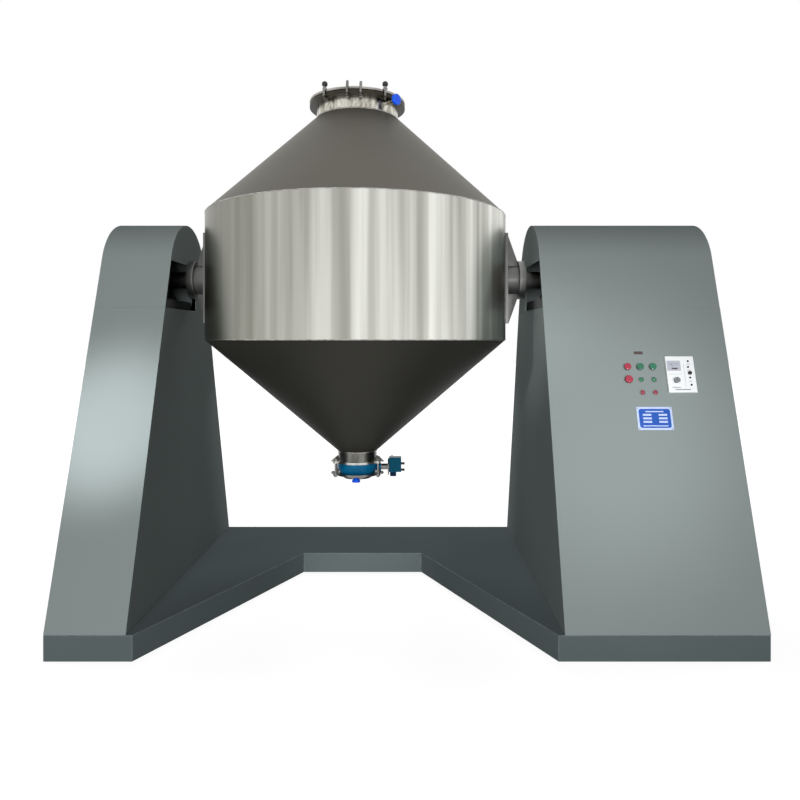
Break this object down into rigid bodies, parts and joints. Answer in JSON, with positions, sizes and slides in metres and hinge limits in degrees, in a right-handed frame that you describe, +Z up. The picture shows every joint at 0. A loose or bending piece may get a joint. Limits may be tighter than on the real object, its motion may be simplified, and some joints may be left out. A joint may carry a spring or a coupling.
{
  "type": "double cone mixer",
  "caption": "Double cone powder mixer: a biconical stainless drum turning end over end between an idle stand and a wider drive stand on a welded plinth.",
  "frame": {"origin": "middle of the plinth's underside, on the floor", "axes": "+Z up, +X from the idle stand to the drive stand along the drum's axis, -Y the front with the controls"},
  "size_m": [2.6, 1.41, 2.306],
  "materials": {
    "paint": "satin grey paint",
    "plinth_paint": "satin grey paint",
    "frame_paint": "matt primer",
    "cast": "painted casting",
    "bronze": "machined bronze",
    "bright_steel": "vertically brushed stainless",
    "dull_steel": "matt stainless",
    "bolt_steel": "zinc plated",
    "drive_paint": "gloss paint",
    "chain_steel": "oiled steel",
    "rubber": "matt",
    "valve_blue": "gloss paint",
    "knob_blue": "gloss",
    "black_plastic": "gloss",
    "button_red": "gloss",
    "button_green": "gloss",
    "lens_red": "gloss",
    "unit_white": "satin",
    "window": "clear",
    "plate_blue": "enamelled",
    "label": "matt"
  },
  "bodies": {
    "stand": {"plinth": "plinth_paint", "idle_casing": "paint", "idle_cover": "paint", "idle_frame": "frame_paint", "idle_bearing": "cast", "idle_bush": "bronze", "drive_casing": "paint", "drive_cover": "paint", "drive_frame": "frame_paint", "drive_bearing": "cast", "drive_bush": "bronze", "bearing_bolts": "bolt_steel", "motor_stool": "frame_paint", "gearbox": "drive_paint", "motor": "drive_paint", "motor_bolts": "bolt_steel", "roller_chain": "chain_steel", "bezels": "bolt_steel", "green_lenses": "button_green", "red_lenses": "lens_red", "control_unit": "unit_white", "unit_window": "window", "unit_caps": "black_plastic", "nameplate": "plate_blue", "label_plate": "label"},
    "drum": {"drum_cylinder": "bright_steel", "upper_cone": "dull_steel", "lower_cone": "dull_steel", "feed_neck": "bright_steel", "feed_flange": "bright_steel", "lid_gasket": "rubber", "guide_studs": "dull_steel", "idle_saddle": "dull_steel", "drive_saddle": "dull_steel", "idle_shaft": "bright_steel", "drive_shaft": "bright_steel", "drum_sprocket": "chain_steel", "outlet_neck": "bright_steel", "valve_body": "valve_blue", "valve_seat": "rubber", "notch_plate": "dull_steel", "spigot_flange": "bright_steel", "valve_bolts": "bolt_steel", "bag_studs": "dull_steel"},
    "motor_shaft": {"motor_sprocket": "chain_steel"},
    "lid": {"lid": "dull_steel", "lid_handle": "bright_steel"},
    "clamp_a": {"ball_knob_a": "black_plastic"},
    "clamp_b": {"ball_knob_b": "black_plastic"},
    "clamp_c": {"ball_knob_c": "black_plastic"},
    "clamp_d": {"ball_knob_d": "black_plastic"},
    "vent": {"vent_knob": "knob_blue"},
    "valve": {"valve_disc": "bright_steel", "valve_lever": "valve_blue"},
    "low_knob": {"outlet_knob": "knob_blue"},
    "red_push": {"red_button": "button_red"},
    "green_push_a": {"green_button_a": "button_green"},
    "green_push_b": {"green_button_b": "button_green"},
    "stop_push": {"stop_button": "button_red"},
    "speed": {"speed_knob": "black_plastic"}
  },
  "joints": [
    {"name": "drum_spin", "type": "hinge", "parent": "stand", "child": "drum", "pos_m": [-0.228, 0, 1.425], "axis": [1, 0, 0], "continuous": true, "deforming": ["roller_chain"]},
    {"name": "motor_shaft_spin", "type": "hinge", "parent": "stand", "child": "motor_shaft", "pos_m": [0.815, 0, 0.60348], "axis": [1, 0, 0], "continuous": true},
    {"name": "lid_lift", "type": "slide", "parent": "drum", "child": "lid", "axis": [0, 0, 1], "range_m": [0, 0.3]},
    {"name": "clamp_a_turn", "type": "hinge", "parent": "lid", "child": "clamp_a", "pos_m": [-0.09548, -0.15245, 2.239], "axis": [0, 0, 1], "continuous": true},
    {"name": "clamp_b_turn", "type": "hinge", "parent": "lid", "child": "clamp_b", "pos_m": [-0.36052, -0.15245, 2.239], "axis": [0, 0, 1], "continuous": true},
    {"name": "clamp_c_turn", "type": "hinge", "parent": "lid", "child": "clamp_c", "pos_m": [-0.36052, 0.15245, 2.239], "axis": [0, 0, 1], "continuous": true},
    {"name": "clamp_d_turn", "type": "hinge", "parent": "lid", "child": "clamp_d", "pos_m": [-0.09548, 0.15245, 2.239], "axis": [0, 0, 1], "continuous": true},
    {"name": "vent_turn", "type": "hinge", "parent": "drum", "child": "vent", "pos_m": [-0.05248, -0.16368, 2.198], "axis": [0.7314, -0.682, 0], "range_deg": [0, 360]},
    {"name": "valve_turn", "type": "hinge", "parent": "drum", "child": "valve", "pos_m": [-0.228, 0, 0.567], "axis": [-1, 0, 0], "range_deg": [0, 90]},
    {"name": "low_knob_turn", "type": "hinge", "parent": "drum", "child": "low_knob", "pos_m": [-0.228, -0.085, 0.534], "axis": [0, 0, 1], "continuous": true},
    {"name": "red_press", "type": "slide", "parent": "stand", "child": "red_push", "axis": [0, 0.9486, -0.3164], "range_m": [0, 0.003], "stiffness_N_per_m": 500, "springref_m": -0.002},
    {"name": "green_press_a", "type": "slide", "parent": "stand", "child": "green_push_a", "axis": [0, 0.9486, -0.3164], "range_m": [0, 0.003], "stiffness_N_per_m": 500, "springref_m": -0.002},
    {"name": "green_press_b", "type": "slide", "parent": "stand", "child": "green_push_b", "axis": [0, 0.9486, -0.3164], "range_m": [0, 0.003], "stiffness_N_per_m": 500, "springref_m": -0.002},
    {"name": "stop_press", "type": "slide", "parent": "stand", "child": "stop_push", "axis": [0, 0.9486, -0.3164], "range_m": [0, 0.003], "stiffness_N_per_m": 500, "springref_m": -0.002},
    {"name": "speed_turn", "type": "hinge", "parent": "stand", "child": "speed", "pos_m": [1.075, -0.40855, 0.98387], "axis": [0, -0.9486, 0.3164], "range_deg": [-135, 135]}
  ],
  "couplings": [
    {"joint": "motor_shaft_spin", "follows": "drum_spin", "ratio": 2}
  ]
}
